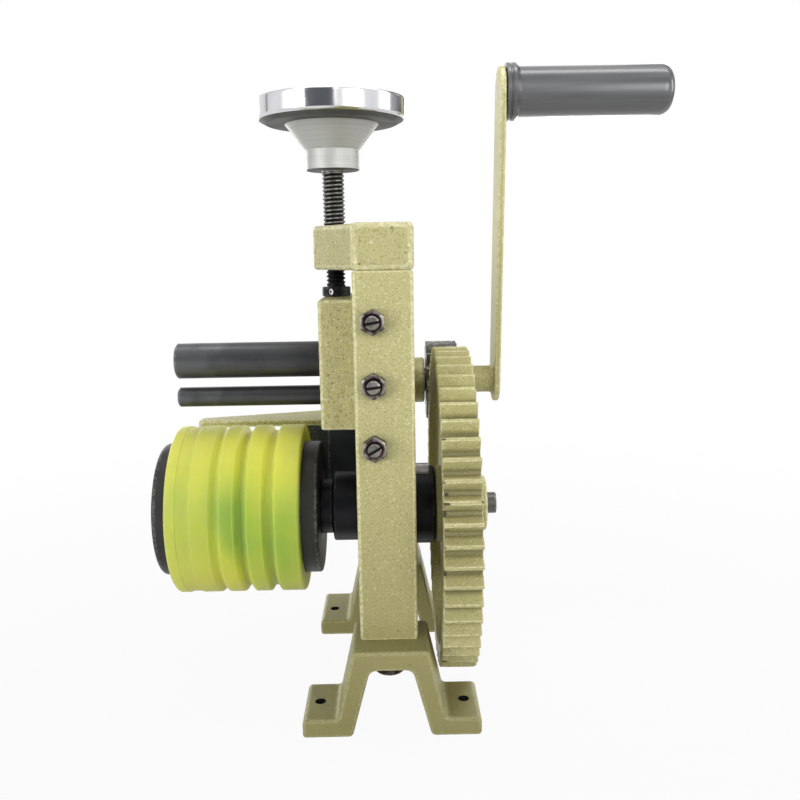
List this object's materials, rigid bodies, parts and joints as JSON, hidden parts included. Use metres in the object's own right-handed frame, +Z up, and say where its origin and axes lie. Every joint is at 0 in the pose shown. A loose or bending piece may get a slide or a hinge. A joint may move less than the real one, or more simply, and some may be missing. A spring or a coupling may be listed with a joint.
{
  "type": "bracelet rolling machine",
  "caption": "Hand-cranked bench machine that rolls metal strip into bracelets between a grooved soft drum and steel mandrels on a screw-driven slider.",
  "frame": {"origin": "on the bench plane, at the centre of the four foot holes", "axes": "+X along the drum axis towards the gear and crank, +Y to the rear, +Z up"},
  "size_m": [0.347, 0.2393, 0.4051],
  "materials": {
    "paint": "gold-green hammered paint on castings",
    "black_steel": "blackened steel",
    "steel": "ground steel",
    "polished": "polished and turned",
    "bronze": "plain bearing bronze",
    "soft_sleeve": "translucent polyurethane",
    "grip": "moulded grey plastic"
  },
  "bodies": {
    "frame": {"front_foot": "paint", "rear_foot": "paint", "foot_screws": "black_steel", "housing": "paint", "top_cap": "paint", "cap_screws": "black_steel", "spindle_nut": "bronze", "gib_screws": "steel", "gib_lock_nuts": "black_steel", "gib_strip": "steel", "bearing_block": "black_steel", "bearing_boss_left": "black_steel", "bearing_boss_right": "black_steel", "block_screws": "black_steel", "drum_bush_left": "bronze", "drum_bush_right": "bronze", "guard_stud": "steel", "feed_table": "paint", "table_bracket": "black_steel", "table_screws": "black_steel", "table_bolts": "black_steel", "crank_bush": "bronze"},
    "slider": {"slider": "paint", "big_bush": "bronze", "small_bush": "bronze", "spindle_keeper": "black_steel"},
    "spindle": {"spindle": "black_steel", "hand_wheel": "polished", "wheel_washer": "polished", "wheel_nut": "black_steel", "thrust_collar": "black_steel", "collar_screw": "steel"},
    "big_mandrel": {"big_mandrel": "steel", "big_mandrel_collar": "black_steel"},
    "small_mandrel": {"small_mandrel": "steel", "small_mandrel_collar": "black_steel"},
    "drum": {"drum_shaft": "black_steel", "drum_core": "black_steel", "drum_sleeve": "soft_sleeve", "core_screw": "black_steel", "drum_gear": "paint", "gear_hub": "paint", "gear_key": "steel"},
    "crank": {"crank_shaft": "steel", "crank_collar": "black_steel", "pinion": "steel", "pinion_key": "steel", "crank_hub": "paint", "crank_arm": "paint", "handle_pin": "steel", "pin_nut": "steel"},
    "grip": {"grip": "grip", "grip_cap": "grip"}
  },
  "joints": [
    {"name": "slider_slide", "type": "slide", "parent": "frame", "child": "slider", "axis": [0, 0, 1], "range_m": [-0.01255, 0.00918]},
    {"name": "spindle_turn", "type": "hinge", "parent": "slider", "child": "spindle", "pos_m": [-0.031, 0, 0.3], "axis": [0, 0, 1], "range_deg": [-1771.2, 1296]},
    {"name": "big_mandrel_spin", "type": "hinge", "parent": "slider", "child": "big_mandrel", "pos_m": [-0.08, 0, 0.2103], "axis": [1, 0, 0], "continuous": true},
    {"name": "small_mandrel_spin", "type": "hinge", "parent": "slider", "child": "small_mandrel", "pos_m": [-0.08, 0, 0.1869], "axis": [1, 0, 0], "continuous": true},
    {"name": "drum_turn", "type": "hinge", "parent": "frame", "child": "drum", "pos_m": [0, 0, 0.1126], "axis": [1, 0, 0], "continuous": true},
    {"name": "crank_turn", "type": "hinge", "parent": "frame", "child": "crank", "pos_m": [0, 0.10622, 0.18], "axis": [1, 0, 0], "continuous": true},
    {"name": "grip_spin", "type": "hinge", "parent": "crank", "child": "grip", "pos_m": [0.14, 0.07619, 0.38582], "axis": [1, 0, 0], "continuous": true}
  ],
  "couplings": [
    {"joint": "slider_slide", "follows": "spindle_turn", "m_per_rad": 0.00039789},
    {"joint": "crank_turn", "follows": "drum_turn", "ratio": -3.8571}
  ]
}
